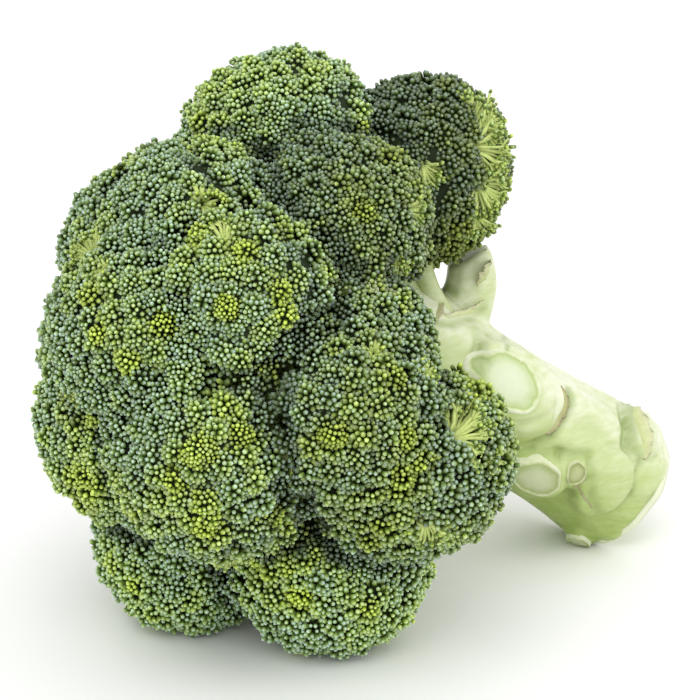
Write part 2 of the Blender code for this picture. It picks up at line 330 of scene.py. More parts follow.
budSettings = {
    "seed": 5,
    "skinVoxel": 0.0018,
    "closing": 0.0014,
    "skinSmoothing": 1,
    "lowest": 0.0006,
    "closest": 0.85,  # in widths of a bud
    "fullness": 1.06,  # a bud's width against its spacing
    "candidates": 9,
    "pattern": 0.54,  # spiral step in a cluster, in widths
    "spiralStart": 0.2,
    "inCluster": 90,  # at most
    "youngScale": 0.84,
    "youngFirst": 0.01,
    "clusterScale": (0.92, 1.08),
    "youngFill": 0.88,
    "openedClear": 0.74,  # in reaches of an opened cluster
    "clusterRise": 0.0008,
    "clusterDip": 0.0018,
    "unevenness": 0.0003,
    # how far out from a bud the skin is looked for, and from what closeness a crease gets painted shade
    "creaseProbe": 0.007,
    "creaseFrom": 0.02,
    "apart": 1.10,  # what neighbours press out to, in widths
    "pressReach": 1.3,
    "pressShare": 0.5,
    "mostPress": 0.25,
    "rounds": 4,
    "length": 2.10,  # in widths
    "girth": 1.12,
    "height": 0.96,  # against the length
    "tip": (0.9, 0.88),  # where the tip starts, and how far it is pressed down
    "sink": 0.50,  # of the length, into the core
    "splay": 1.05,
    "jitter": 0.42,
    "widths": (0.82, 1.17),
    "widening": (0.92, 0.12),  # at a cluster's middle, and more towards its edge
    "mostLean": 1.2,
    "budsTo": math.radians(64.0),  # round the cone's tip, from the way the floret faces
    "creases": 0.08,
}
coreSettings = {
    "voxel": 0.0034,
    "smoothing": 4,
    "depth": 0.0024,
    "hollowReach": 1.2,  # in reaches of an opened cluster
    "under": (5.0, 0.62),  # how fast the underside turns pale, and how far
    "hollow": (0.9, 0.15),
}
clusterSettings = {
    "reach": 0.0043,
    "apart": 1.45,  # in reaches
    "clear": 0.8,  # of a spot, in its reaches
    "tries": 20000,
    "tip": (0.001, 0.0002),  # how far the source's cluster tips stand out, on average and at least
}
# How yellow a cluster is.
ripeness = {
    "base": 0.20,
    "drifts": ((42.0, (0, 0, 0), 0.62), (110.0, (5, 1, 3), 0.34)),  # fineness, shift and amount
    "rim": (0.35, 0.45),
    "low": (0.18, 0.062, 0.030),  # amount, height and reach of the yellower band
    "spread": 0.08,
    "yellowShare": 0.06,
    "yellow": (0.35, 0.6),
    "most": 0.9,
    "young": 0.68,
    "youngSpread": (-0.12, 0.15),
    "glow": 2.6,  # how far round a young cluster its yellow reaches, in its own sizes
    "warm": 0.32,
    # less yellow, so darker and bluer, near deep crevices and in creases: painted shade
    "deep": 0.4,
    "crease": 1.2,
    "budSpread": 0.20,
}
shadeSettings = {
    "base": 0.57,
    # how far each floret's painted light and shade moves its buds' tone
    "floret": 1.6,
    "spread": 0.15,
    "edge": (0.24, 0.6),  # how much darker a cluster's edge is, and from where
    # painted shade in creases
    "crease": 1.6,
}
goldenAngle = 2.39996

# Places that stand out in the photograph: kind, and then pixel and reach. Rosettes are young yellow
# clusters, stars are clusters that have opened, fans are branchlets at a floret's rim, and sprays are
# opened clusters seen from their side. Their order is that of the random draws.
photoSpots = [
    ("rosette", [
        (197, 452, 0.0056), (244, 433, 0.0036), (226, 308, 0.0038), (163, 323, 0.0032), (95, 335, 0.0032),
        (169, 486, 0.0030), (81, 481, 0.0040), (265, 365, 0.0032), (204, 530, 0.0036), (333, 436, 0.0046),
        (408, 438, 0.0036), (398, 376, 0.0030), (406, 484, 0.0044), (278, 519, 0.0034), (218, 203, 0.0046),
        (285, 288, 0.0036), (243, 247, 0.0034), (365, 212, 0.0036), (92, 425, 0.0034), (134, 588, 0.0032),
        (300, 597, 0.0038), (371, 609, 0.0034),
    ]),
    ("spray", [(85, 251, 0.0060), (466, 424, 0.0082)]),
    ("star", [(432, 373, 0.0050)]),
    ("spray", [(429, 532, 0.0056)]),
    ("star", [(207, 202, 0.0050)]),
    ("spray", [
        (486, 118, 0.0075), (493, 150, 0.0088), (490, 190, 0.0075), (484, 228, 0.0060), (428, 176, 0.0052),
        (418, 208, 0.0046),
    ]),
    ("fan", [(500, 460, 0.0050), (452, 540, 0.0060), (408, 268, 0.0050)]),
    ("spray", [(220, 224, 0.0056)]),
    ("star", [(100, 262, 0.0040), (68, 402, 0.0044), (377, 348, 0.0040), (474, 396, 0.0040)]),
]
# The same on the sides that the photograph doesn't show.
farSpots = {
    "kinds": {"rosette": (0.2, 1.0, 4), "star": (-0.1, 0.5, 2), "fan": (-0.45, -0.1, 2)},  # where, and how many
    "tries": 40,
    "from": 0.08,
    "lowest": 0.004,
    "seen": 0.25,
    "open": (0.001, 0.02),
    "apart": 0.012,
    "reach": (0.0034, 0.0050),
    "opened": 1.4,
}


def mergedCopy(name):
    bm = bmesh.new()
    bm.from_mesh(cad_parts[name].data)
    bmesh.ops.remove_doubles(bm, verts=bm.verts[:], dist=0.00001)
    return bm


def evenFaces(bm, voxel):
    mesh = meshOf(bm, "rough")
    rough = addObject("rough", mesh)
    change = rough.modifiers.new("even faces", "REMESH")
    change.mode = "VOXEL"
    change.voxel_size = voxel
    bm = bmesh.new()
    bm.from_object(rough, bpy.context.evaluated_depsgraph_get())
    bpy.data.objects.remove(rough)
    bpy.data.meshes.remove(mesh)
    return bm


def soften(bm, rounds):
    for _ in range(rounds):
        bmesh.ops.smooth_vert(bm, verts=bm.verts[:], factor=0.5, use_axis_x=True, use_axis_y=True, use_axis_z=True)


def nearestOf(places):
    near = kdtree.KDTree(len(places))
    for index, place in enumerate(places):
        near.insert(place, index)
    near.balance()
    return near


class Head:
    # All the florets as solids, and which of them is nearest to a place.
    def __init__(self):
        self.names, self.owners, self.trees = list(florets), [], {}
        whole = bmesh.new()
        for index, name in enumerate(self.names):
            bm = mergedCopy(name)
            self.trees[name] = BVHTree.FromBMesh(bm)
            self.owners += [index] * len(bm.faces)
            mesh = meshOf(bm, "copied")
            whole.from_mesh(mesh)
            bpy.data.meshes.remove(mesh)
        self.tree = BVHTree.FromBMesh(whole)
        self.skin = evenFaces(whole, budSettings["skinVoxel"])
        for step in (budSettings["closing"], -budSettings["closing"]):  # closes the gaps where three florets meet
            self.skin.normal_update()
            for vert, normal in [(vert, vert.normal.copy()) for vert in self.skin.verts]:
                vert.co += normal * step
            if step > 0:
                self.skin = evenFaces(self.skin, budSettings["skinVoxel"])
        soften(self.skin, budSettings["skinSmoothing"])
        self.skin.normal_update()
        self.skinTree = BVHTree.FromBMesh(self.skin)
        self.poses = [floretPose(name) for name in self.names]

    def owner(self, place):
        return self.owners[self.tree.find_nearest(place)[2]]

    def steepness(self, place, index):
        # The angle at the tip of the floret's cone: past the rim's angle lies its underside.
        facing, tip = self.poses[index]
        return (place - tip).angle(facing, math.pi)

    def budded(self, place, normal, index):
        # Buds cover the domes, and the bottoms of the creases between them.
        if place.z <= budSettings["lowest"]:
            return False
        outwards = (place - Vector(facesFrom["rest"])).normalized()
        return self.steepness(place, index) < budSettings["budsTo"] or normal.dot(outwards) > budSettings["creases"]


# Deep creases between the large lobes, as the photograph's pixels that each one follows. Buds near them are sunk and
# given painted shade.
creviceLines = [
    [(318, 285), (302, 330), (290, 370), (281, 410), (286, 440), (290, 470), (283, 500), (275, 530)],
    [(180, 150), (205, 172), (230, 190), (248, 202), (265, 212), (290, 236), (311, 262), (318, 285)],
    [(340, 70), (347, 98), (350, 130)],
    [(350, 130), (395, 139), (430, 152), (441, 176), (438, 212), (430, 250)],
    [(226, 552), (255, 545), (285, 535)],
    [(228, 552), (226, 580), (220, 608)],
]
creviceSettings = {
    "reach": 0.0036,
    "sink": 0.0028,
    # painted shade on the buds near a crevice
    "shade": 0.62,
    "stepPixels": 4.0,
}


def findCrevices(head):
    # Points along the deep creases, on the skin of the head.
    points = []
    for line in creviceLines:
        for (x0, y0), (x1, y1) in zip(line, line[1:]):
            steps = max(int(math.hypot(x1 - x0, y1 - y0) / creviceSettings["stepPixels"]), 1)
            for n in range(steps):
                place = head.tree.ray_cast(*pixelRay(x0 + (x1 - x0) * n / steps, y0 + (y1 - y0) * n / steps))[0]
                if place:
                    points.append(place)
    return nearestOf(points)


def findSpots(head):
    # The photograph's spots on the florets, and a few of each kind on the sides that it doesn't show.
    dice = random.Random(budSettings["seed"])
    spots = {name: [] for name in florets}
    for kind, marks in photoSpots:
        for x, y, reach in marks:
            place = head.tree.ray_cast(*pixelRay(x, y))[0]
            if place:
                spots[head.names[head.owner(place)]].append((place, kind, reach))
    step, clear = farSpots["open"]
    for index, (name, tree) in enumerate(head.trees.items()):
        middle = Vector(florets[name][0])
        facing = head.poses[index][0]
        for kind, (low, high, count) in farSpots["kinds"].items():
            for _ in range(farSpots["tries"]):
                if count == 0:
                    break
                way = Vector([dice.gauss(0, 1) for _ in range(3)]).normalized()
                place = tree.ray_cast(middle + way * farSpots["from"], -way)[0]
                if not place or not low < way.dot(facing) < high or place.z < farSpots["lowest"]:
                    continue
                seen = way.dot(cameraLook) < farSpots["seen"]
                blocked = head.tree.ray_cast(place + way * step, way, clear)[0]
                if seen or blocked or any((place - spot[0]).length < farSpots["apart"] for spot in spots[name]):
                    continue
                reach = dice.uniform(*farSpots["reach"]) * (1.0 if kind == "rosette" else farSpots["opened"])
                spots[name].append((place, kind, reach))
                count -= 1
    return spots


def buildCore(name, opened):
    bm = evenFaces(mergedCopy(name), coreSettings["voxel"])
    soften(bm, coreSettings["smoothing"])
    bm.normal_update()
    hollows = [
        (place, pedicelSettings["hollow"][kind] * reach, coreSettings["hollowReach"] * reach)
        for place, kind, reach in opened
    ]
    moves = []
    for vert in bm.verts:  # an opened cluster leaves a hollow
        sunk = [deep * max(1 - (vert.co - place).length / wide, 0) for place, deep, wide in hollows]
        moves.append((vert, -vert.normal * (coreSettings["depth"] + max(sunk, default=0))))
    for vert, move in moves:
        vert.co += move
    bm.normal_update()
    return bm


def clusterTips(name):
    bm = mergedCopy(name)
    middle = Vector(florets[name][0])
    average, least = clusterSettings["tip"]
    tips = []
    for vert in bm.verts:
        far = (vert.co - middle).length
        drops = [far - (edge.other_vert(vert).co - middle).length for edge in vert.link_edges]
        if drops and sum(drops) / len(drops) > average and min(drops) > least:
            tips.append(vert.co.copy())
    bm.free()
    return tips


class Spacing:
    # Keeps places at least this far apart.
    def __init__(self, size):
        self.size = size
        self.cells = {}

    def key(self, place):
        return tuple(int(math.floor(value / self.size)) for value in place)

    def free(self, place, apart):
        x, y, z = self.key(place)
        for dx in (-1, 0, 1):
            for dy in (-1, 0, 1):
                for dz in (-1, 0, 1):
                    for other in self.cells.get((x + dx, y + dy, z + dz), ()):
                        if (other - place).length_squared < apart * apart:
                            return False
        return True

    def take(self, place):
        self.cells.setdefault(self.key(place), []).append(place.copy())


def anyTangent(normal):
    side = normal.orthogonal().normalized()
    return side, normal.cross(side)


def surfacePlaces(bm, count, dice):
    # Random places on the mesh, evenly by area.
    triangles = bm.calc_loop_triangles()
    areas = []
    for loops in triangles:
        a, b, c = (loop.vert.co for loop in loops)
        areas.append((b - a).cross(c - a).length / 2)
    for loops in dice.choices(triangles, weights=areas, k=count):
        a, b, c = (loop.vert.co for loop in loops)
        u, v = dice.random(), dice.random()
        if u + v > 1:
            u, v = 1 - u, 1 - v
        yield a + (b - a) * u + (c - a) * v


class Clusters:
    # Every cluster of the head: seat, normal, reach, ripeness, and whether it is a young yellow one.
    def __init__(self, head, spots, dice):
        reach = clusterSettings["reach"]
        marks = [mark for floretMarks in spots.values() for mark in floretMarks]
        self.opened = [(place, size) for place, kind, size in marks if kind != "rosette"]
        young = [(place, size) for place, kind, size in marks if kind == "rosette"]
        taken = [(place, clusterSettings["clear"] * size) for place, size in self.opened + young]
        tips = []
        for name in head.names:
            tips += [tip for tip in clusterTips(name) if all((tip - place).length > size for place, size in taken)]
        apart = clusterSettings["apart"] * reach
        room = Spacing(apart)
        for place in [spot[0] for spot in young] + tips:
            room.take(place)
        for place in surfacePlaces(head.skin, clusterSettings["tries"], dice):
            if room.free(place, apart):
                tips.append(place)
                room.take(place)
        self.list = []
        for place, size, isYoung in [(tip, reach, False) for tip in tips] + [(*spot, True) for spot in young]:
            seat, normal, _, _ = head.skinTree.find_nearest(place)
            index = head.owner(seat)
            if not head.budded(seat, normal, index):
                continue
            if isYoung:
                ripe = ripeness["young"] + dice.uniform(*ripeness["youngSpread"])
            else:
                ripe = clusterRipeness(place, normal, head.poses[index][0], dice)
            self.list.append((seat, normal, size, ripe, isYoung))
        self.near = nearestOf([cluster[0] for cluster in self.list])


def setBuds(head, clusters, dice):
    # First the buds of each cluster, in a spiral from its middle, then more where there is room.
    widths = [florets[name][2] for name in head.names]
    wishes = []
    for number, (seat, normal, size, _, young) in enumerate(clusters.list):
        side, across = anyTangent(normal)
        start = dice.uniform(0, math.tau)
        scale = budSettings["youngScale"] if young else dice.uniform(*budSettings["clusterScale"])
        width = widths[head.owner(seat)]
        for n in range(budSettings["inCluster"]):
            away = budSettings["pattern"] * width * scale * math.sqrt(n + budSettings["spiralStart"])
            if away > size:
                break
            turn = start + n * goldenAngle
            offset = (side * math.cos(turn) + across * math.sin(turn)) * away
            wishes.append((away - (budSettings["youngFirst"] if young else 0), seat + offset, number, scale))
    wishes.sort(key=lambda wish: wish[0])
    area = sum(face.calc_area() for face in head.skin.faces)
    middling = sum(widths) / len(widths)
    for place in surfacePlaces(head.skin, int(budSettings["candidates"] * area / middling**2), dice):
        wishes.append((1.0, place, None, 1.0))
    taken = Spacing(max(widths))
    places, spans, numbers = [], [], []
    for _, wish, number, scale in wishes:
        place, normal, _, _ = head.skinTree.find_nearest(wish)
        if number is None and not taken.free(place, budSettings["closest"] * min(widths)):
            continue
        index = head.owner(place)
        if not head.budded(place, normal, index):
            continue
        if number is None:
            number = clusters.near.find(place)[1]
            scale = budSettings["youngFill"] if clusters.list[number][4] else 1.0
        span = widths[index] * scale
        if not taken.free(place, budSettings["closest"] * min(span, widths[index])):
            continue
        if any((place - spot).length < budSettings["openedClear"] * size for spot, size in clusters.opened):
            continue
        taken.take(place)
        places.append(place)
        spans.append(span)
        numbers.append(number)
    return shapeBuds(head, clusters, evenOut(head, places, spans), spans, numbers, dice)


def evenOut(head, places, spans):
    # Buds press on one another until they lie evenly.
    for _ in range(budSettings["rounds"]):
        near = nearestOf(places)
        moved = []
        for place, span in zip(places, spans):
            push = Vector()
            for other, number, apart in near.find_range(place, budSettings["pressReach"] * span):
                room = budSettings["apart"] * (span + spans[number]) / 2
                if 0 < apart < room:
                    push += (place - other) * (budSettings["pressShare"] * (room - apart) / apart)
            most = budSettings["mostPress"] * span
            if push.length > most:
                push *= most / push.length
            moved.append(head.skinTree.find_nearest(place + push)[0])
        places = moved
    return places


def shapeBuds(head, clusters, places, spans, numbers, dice):
    # Gives the buds of each floret: place, axis, width, ripeness and tone.
    buds = {name: [] for name in head.names}
    crevices = findCrevices(head)
    seats, sizes = zip(*[(seat, size) for seat, _, size, _, isYoung in clusters.list if isYoung])
    apart = np.linalg.norm(np.array(places)[:, None] - np.array(seats)[None], axis=2)
    glow = np.clip(1 - apart / (ripeness["glow"] * np.array(sizes)), 0, 1).max(axis=1)
    probe, mostLean = budSettings["creaseProbe"], budSettings["mostLean"]
    narrow, widening = budSettings["widening"]
    darker, darkFrom = shadeSettings["edge"]
    for place, span, number, warm in zip(places, spans, numbers, glow):
        normal = head.skinTree.find_nearest(place)[1]
        # How closed in the skin is round a bud: creases get painted shade, darker and bluer buds.
        gap = head.skinTree.find_nearest(place + normal * probe)[3] / probe
        crease = max(1 - gap - budSettings["creaseFrom"], 0)
        name = head.names[head.owner(place)]
        seat, _, size, ripe, _ = clusters.list[number]
        lean = (place - seat) / size
        share = min(lean.length, mostLean)
        if share == mostLean:
            lean *= mostLean / lean.length
        rise = budSettings["clusterRise"] * (1 - share) - budSettings["clusterDip"] * share * share
        # Nearness to a deep crevice: it sinks the buds and paints shade on them.
        deep = max(1 - crevices.find(place)[2] / creviceSettings["reach"], 0)
        rise -= creviceSettings["sink"] * deep
        axis = normal + lean * budSettings["splay"]
        axis += Vector([dice.uniform(-1, 1) for _ in range(3)]) * budSettings["jitter"]
        axis.normalize()
        wide = span * budSettings["fullness"] * dice.uniform(*budSettings["widths"]) * (narrow + widening * share)
        # Ripeness falls near crevices and in creases, as painted shade.
        own = ripe + ripeness["warm"] * warm - ripeness["deep"] * deep - ripeness["crease"] * crease
        own += dice.uniform(-ripeness["budSpread"], ripeness["budSpread"])
        rise += dice.gauss(0, budSettings["unevenness"])
        # Tone: painted light and shade of the floret, random tone, a darker cluster edge, and painted shade in
        # creases and crevices.
        shade = shadeSettings["base"] + (florets[name][3] - 1) * shadeSettings["floret"]
        shade += dice.gauss(0, shadeSettings["spread"])
        shade -= darker * (share - darkFrom)
        shade -= shadeSettings["crease"] * crease
        shade -= creviceSettings["shade"] * deep
        buds[name].append((place + normal * rise, axis, wide, min(max(own, 0), 1), min(max(shade, 0), 1)))
    return buds


# The stalklets of opened clusters. Angles are in degrees, and what ends in Spans is drawn from its spans.
pedicelSettings = {
    "star": {"root": 0.0006, "count": 24, "lift": (84, 20), "length": (0.85, 1.20), "tuft": (1, 1)},
    "fan": {
        "root": 0.0020,
        "count": 26,
        "lift": (88, 30),
        "length": (1.00, 1.25),
        "tuft": (1, 2),
        "fork": 0.22,
        "forkThickness": 0.7,
        "forkSpans": ((0.7, 0.95), (0.5, 0.9), (0.5, 0.9)),
    },
    "spray": {
        "root": 0.0006,
        "behind": 0.8,
        "heading": (0.55, 0.45),  # away from the floret's middle, and along its surface
        "count": 21,
        "fullReach": 0.0088,
        "opens": 66,
        "swing": 4,
        "tilt": (-14, 24),
        "length": (1.35, 1.80),
        "shorter": 0.16,
        "bend": (0.25, 0.05),
        "foot": 0.003,
        "budSpans": ((0.75, 1.0), (0.3, 0.9), (0.5, 0.9)),
        "forks": 3,
        "fork": 0.20,
        "forkFrom": (0.45, 0.55),
        "forkWays": ((-1, 1), (-0.6, 0.5), (-0.4, 1)),
        "forkThickness": 0.62,
        "forkSpans": ((0.65, 0.95), (0.3, 0.9), (0.5, 0.9)),
    },
    "fullReach": 0.0062,
    "swing": 8,
    "lengths": (0.88, 1.10),
    "bend": (0.20, 0.50),
    "foot": 0.0008,
    "tuftSpread": 0.5,
    "tuftWidths": (0.70, 0.98),
    "tuftRipeness": (0.66, 0.2),
    "tuftTones": (0.5, 0.95),
    "countPower": 1.1,
    "thickness": (0.34, 0.50),  # in widths of a bud
    "hollow": {"star": 0.20, "fan": 0.38, "spray": 0.30},
}


def tipBud(place, way, width, spans, dice):
    # A bud at the end of a stalklet: its width, ripeness and tone come from spans.
    wide, ripe, tone = [dice.uniform(*span) for span in spans]
    return place, way.normalized(), width * wide, ripe, tone


def setSpray(core, place, reach, middle, width, dice):
    # A bundle seen from its side: stalklets that open outwards over the surface, forked near their ends.
    settings = pedicelSettings["spray"]
    out = place - middle
    out = (out - cameraLook * out.dot(cameraLook)).normalized()
    normal = core.find_nearest(place)[1]
    tangent = (out - normal * out.dot(normal)).normalized()
    heading = (out * settings["heading"][0] + tangent * settings["heading"][1]).normalized()
    across = heading.cross(cameraLook).normalized()
    base = core.find_nearest(place - tangent * settings["behind"] * reach)[0] - normal * settings["root"]
    ahead, nearer = settings["bend"]
    low, high = settings["forkFrom"]
    stalklets, buds = [], []
    count = int(settings["count"] * (reach / settings["fullReach"]) ** pedicelSettings["countPower"])
    for n in range(count):
        jitter = dice.uniform(-settings["swing"], settings["swing"])
        swing = math.radians(settings["opens"] * (2 * (n + 0.5) / count - 1) + jitter)
        tilt = math.radians(dice.uniform(*settings["tilt"]))
        way = (heading * math.cos(swing) + across * math.sin(swing)) * math.cos(tilt) - cameraLook * math.sin(tilt)
        far = reach * dice.uniform(*settings["length"]) * (1 - settings["shorter"] * abs(swing))
        end = base + way * far
        bend = base + (heading + way) * ahead * far - cameraLook * nearer * far
        thick = width * dice.uniform(*pedicelSettings["thickness"])
        stalklets.append((base + across * (n / count - 0.5) * settings["foot"], bend, end, thick))
        buds.append(tipBud(end, end - bend, width, settings["budSpans"], dice))
        for _ in range(settings["forks"]):
            sideways, forwards, away = [dice.uniform(*span) for span in settings["forkWays"]]
            fork = end + (across * sideways + heading * forwards - cameraLook * away) * settings["fork"] * far
            start = bend * low + end * high
            stalklets.append((start, (bend + end + fork) / 3, fork, thick * settings["forkThickness"]))
            buds.append(tipBud(fork, fork - bend, width, settings["forkSpans"], dice))
    return stalklets, buds


def setPedicels(bm, opened, middle, width, dice):
    # Of each stalklet start, guide, end and thickness, and a tuft of buds at its end.
    core = BVHTree.FromBMesh(bm)
    flat, upright = pedicelSettings["bend"]
    stalklets, buds = [], []
    for place, kind, reach in opened:
        if kind == "spray":
            spread, tips = setSpray(core, place, reach, middle, width, dice)
            stalklets += spread
            buds += tips
            continue
        settings = pedicelSettings[kind]
        seat, normal, _, _ = core.find_nearest(place)
        side, across = anyTangent(normal)
        base = seat - normal * settings["root"]
        count = int(settings["count"] * (reach / pedicelSettings["fullReach"]) ** pedicelSettings["countPower"])
        (steep, gentle), (short, long) = settings["lift"], settings["length"]
        turn = dice.uniform(0, math.tau)
        for n in range(count):
            share = math.sqrt((n + 0.5) / count)
            turn += goldenAngle
            out = side * math.cos(turn) + across * math.sin(turn)
            swing = dice.uniform(-pedicelSettings["swing"], pedicelSettings["swing"])
            lift = math.radians(steep + (gentle - steep) * share + swing)
            far = reach * (short + (long - short) * share) * dice.uniform(*pedicelSettings["lengths"])
            end = base + (out * math.cos(lift) + normal * math.sin(lift)) * far
            bend = base + (out * flat + normal * upright) * far
            thick = width * dice.uniform(*pedicelSettings["thickness"])
            stalklets.append((base + out * pedicelSettings["foot"], bend, end, thick))
            if kind == "fan":  # a fork near its end
                aside = side * dice.uniform(-1, 1) + across * dice.uniform(-1, 1)
                fork = end + aside * settings["fork"] * far
                stalklets.append((bend, (bend + end) / 2, fork, thick * settings["forkThickness"]))
                buds.append(tipBud(fork, fork - bend, width, settings["forkSpans"], dice))
            axis = (end - bend).normalized()
            tuft = dice.randint(*settings["tuft"])
            for _ in range(tuft):
                nudge = Vector([dice.uniform(-1, 1) for _ in range(3)]) * width
                nudge *= pedicelSettings["tuftSpread"] * (tuft > 1)
                wide = width * dice.uniform(*pedicelSettings["tuftWidths"])
                ripe = min(max(dice.gauss(*pedicelSettings["tuftRipeness"]), 0), 1)
                buds.append((end + nudge, axis, wide, ripe, dice.uniform(*pedicelSettings["tuftTones"])))
    return stalklets, buds


ribSettings = {
    "round": 18,
    "unevenness": 0.3,
    "slope": math.radians(66.5),
    "outwards": 0.4,
    "from": 0.34,  # along the cone, in radii
    "to": (0.93, 0.99),  # of the way to the rim
    "thickness": (0.0007, 0.0011),
    "sag": 0.0010,
    "openAt": 0.85,  # in radii
    "open": (0.0025, 0.010),
    "lowest": 0.003,
    "forkSwing": 0.25,
    "forkTo": 0.98,
    "forkThickness": 0.7,
}


def setRibs(head, name, solids, dice):
    # Branchlets that run from the neck out to the rim, on the part of the underside that is open to see.
    radius = florets[name][1]
    facing, tip = head.poses[head.names.index(name)]
    side, across = anyTangent(facing)
    step, clear = ribSettings["open"]
    ribs = []
    for n in range(ribSettings["round"]):
        shift = dice.uniform(-ribSettings["unevenness"], ribSettings["unevenness"])
        turn = math.tau * (n + shift) / ribSettings["round"]
        out = side * math.cos(turn) + across * math.sin(turn)
        line = (facing + out * math.tan(ribSettings["slope"])).normalized()
        outside = (out - facing * ribSettings["outwards"]).normalized()
        seen = tip + line * radius * ribSettings["openAt"]
        if solids.ray_cast(seen + outside * step, outside, clear)[0] or seen.z < ribSettings["lowest"]:
            continue
        rim = head.trees[name].ray_cast(tip + line * 3 * radius, -line)[0]
        if not rim:
            continue
        far = (rim - tip).length * dice.uniform(*ribSettings["to"])
        start, end = tip + line * radius * ribSettings["from"], tip + line * far
        bend = (start + end) / 2 - outside * ribSettings["sag"]
        ribs.append((start, bend, end, dice.uniform(*ribSettings["thickness"])))
        for _ in range(dice.randint(1, 2)):
            aside = facing.cross(out) * math.sin(ribSettings["forkSwing"]) * dice.choice((-1, 1))
            swing = out * math.cos(ribSettings["forkSwing"]) + aside
            tipLine = (facing + swing * math.tan(ribSettings["slope"])).normalized()
            thick = ribSettings["thickness"][0] * ribSettings["forkThickness"]
            ribs.append((bend, (bend + end) / 2, tip + tipLine * far * ribSettings["forkTo"], thick))
    return ribs


def clusterRipeness(place, normal, facing, dice):
    # In drifts over the head, more at a floret's rim and low on the head, and all of it in a few young ones.
    drift = sum(noise.noise(place * fine + Vector(shift)) * amount for fine, shift, amount in ripeness["drifts"])
    rim = max(0.0, ripeness["rim"][0] - normal.dot(facing)) * ripeness["rim"][1]
    amount, height, reach = ripeness["low"]
    low = amount * math.exp(-(((place.z - height) / reach) ** 2))
    ripe = ripeness["base"] + low + drift + rim + dice.uniform(-ripeness["spread"], ripeness["spread"])
    if dice.random() < ripeness["yellowShare"]:
        ripe += dice.uniform(*ripeness["yellow"])
    return min(max(ripe, 0.0), ripeness["most"])


def makeStamp(bm, name):
    # A small mesh that is repeated, and its points at rest.
    mesh = meshOf(bm, name)
    return mesh, np.array([vert.co for vert in mesh.vertices])


def budShape():
    # One bud, standing on its base and pointing along +Z.
    girth, length = budSettings["girth"], budSettings["length"]
    tipFrom, press = budSettings["tip"]
    bm = bmesh.new()
    bmesh.ops.create_icosphere(bm, subdivisions=1, radius=0.5)
    lowest = min(bm.verts, key=lambda vert: vert.co.z)
    bmesh.ops.dissolve_verts(bm, verts=[lowest])
    bmesh.ops.scale(bm, vec=(girth, girth, length * budSettings["height"]), verts=bm.verts[:])
    for vert in bm.verts:
        if vert.co.z > 0.5 * length * tipFrom:
            vert.co.z *= press
    return makeStamp(bm, "bud")


def stalkletShape():
    # One stalklet of unit length along +Z, in two steps.
    bm = bmesh.new()
    bmesh.ops.create_cone(bm, cap_ends=True, segments=4, radius1=1.0, radius2=1.0, depth=1.0)
    bmesh.ops.translate(bm, vec=(0, 0, 0.5), verts=bm.verts[:])
    upright = [edge for edge in bm.edges if abs(edge.verts[0].co.z - edge.verts[1].co.z) > 0.5]
    bmesh.ops.subdivide_edges(bm, edges=upright, cuts=1)
    return makeStamp(bm, "stalklet")


# A stalklet's thickness along its length, and how much less pale it is at its end.
stalkletSettings = {
    "taper": (1.25, -0.5, 0.35),
    "paling": 0.25,
}


class Growth:
    # Collects the repeats of one floret and what each of their points is coloured by.
    def __init__(self, bm, pale):
        self.bm = bm
        none = np.zeros(len(bm.verts))
        self.values = {"rise": [none], "ripe": [none], "tone": [none], "pale": [np.array(pale)]}

    def stamp(self, mesh, coords, **values):
        np.clip(coords, np.array(lowCorner), np.array(highCorner), out=coords)
        mesh.vertices.foreach_set("co", coords.astype(np.float32).ravel())
        self.bm.from_mesh(mesh)
        for key, store in self.values.items():
            store.append(np.broadcast_to(values.get(key, 0.0), len(coords)))

    def addBuds(self, buds, mesh, rest):
        base = rest + np.array([0, 0, budSettings["length"] * (0.5 - budSettings["sink"])])
        rise = (base[:, 2] - base[:, 2].min()) / (base[:, 2].max() - base[:, 2].min())
        for place, axis, width, ripe, tone in buds:
            side, across = anyTangent(axis)
            coords = base @ np.array([side, across, axis]) * width + np.array(place)
            self.stamp(mesh, coords, rise=rise, ripe=ripe, tone=tone)

    def addStalklets(self, stalklets, mesh, base):
        t = base[:, 2:3]
        root, fall, flare = stalkletSettings["taper"]
        taper = root + fall * t + flare * t**3
        for start, bend, end, thick in stalklets:
            side, across = anyTangent((end - start).normalized())
            line = (1 - t) ** 2 * np.array(start) + 2 * t * (1 - t) * np.array(bend) + t * t * np.array(end)
            coords = line + (base[:, :1] * np.array(side) + base[:, 1:2] * np.array(across)) * thick * taper
            self.stamp(mesh, coords, pale=1.0 - stalkletSettings["paling"] * t[:, 0])


def buildFloret(head, name, spots, buds, shapes, solids, materials):
    dice = random.Random(f"{budSettings['seed']} {name}")
    middle, _, width, _ = florets[name]
    opened = [spot for spot in spots if spot[1] != "rosette"]
    bm = buildCore(name, opened)
    stalklets, tipBuds = setPedicels(bm, opened, Vector(middle), width, dice)
    ribs = setRibs(head, name, solids, dice)
    index = head.names.index(name)
    pale = []
    for vert in bm.verts:
        under = (head.steepness(vert.co, index) - budSettings["budsTo"]) * coreSettings["under"][0]
        hollow = max([1 - (vert.co - place).length / size for place, _, size in opened] + [0])
        hollow = coreSettings["hollow"][0] * hollow - coreSettings["hollow"][1]
        pale.append(min(max(min(under, coreSettings["under"][1]), hollow, 0), 1))
    growth = Growth(bm, pale)
    growth.addStalklets(stalklets + ribs, *shapes["stalklet"])
    fleshy = len(bm.faces)
    growth.addBuds(buds + tipBuds, *shapes["bud"])
    bm.faces.ensure_lookup_table()
    for face in bm.faces[:fleshy]:
        face.material_index = 1
    piece = makePiece(bm, name + "_buds", materials)
    setAttributes(piece.data, **{key: np.concatenate(values) for key, values in growth.values.items()})
    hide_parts(name)
    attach(piece, "root")
    triangles = trianglesOf(piece.data)
    print(name, len(buds), "buds", len(stalklets), "stalklets", len(ribs), "ribs", triangles, "triangles")
    return triangles


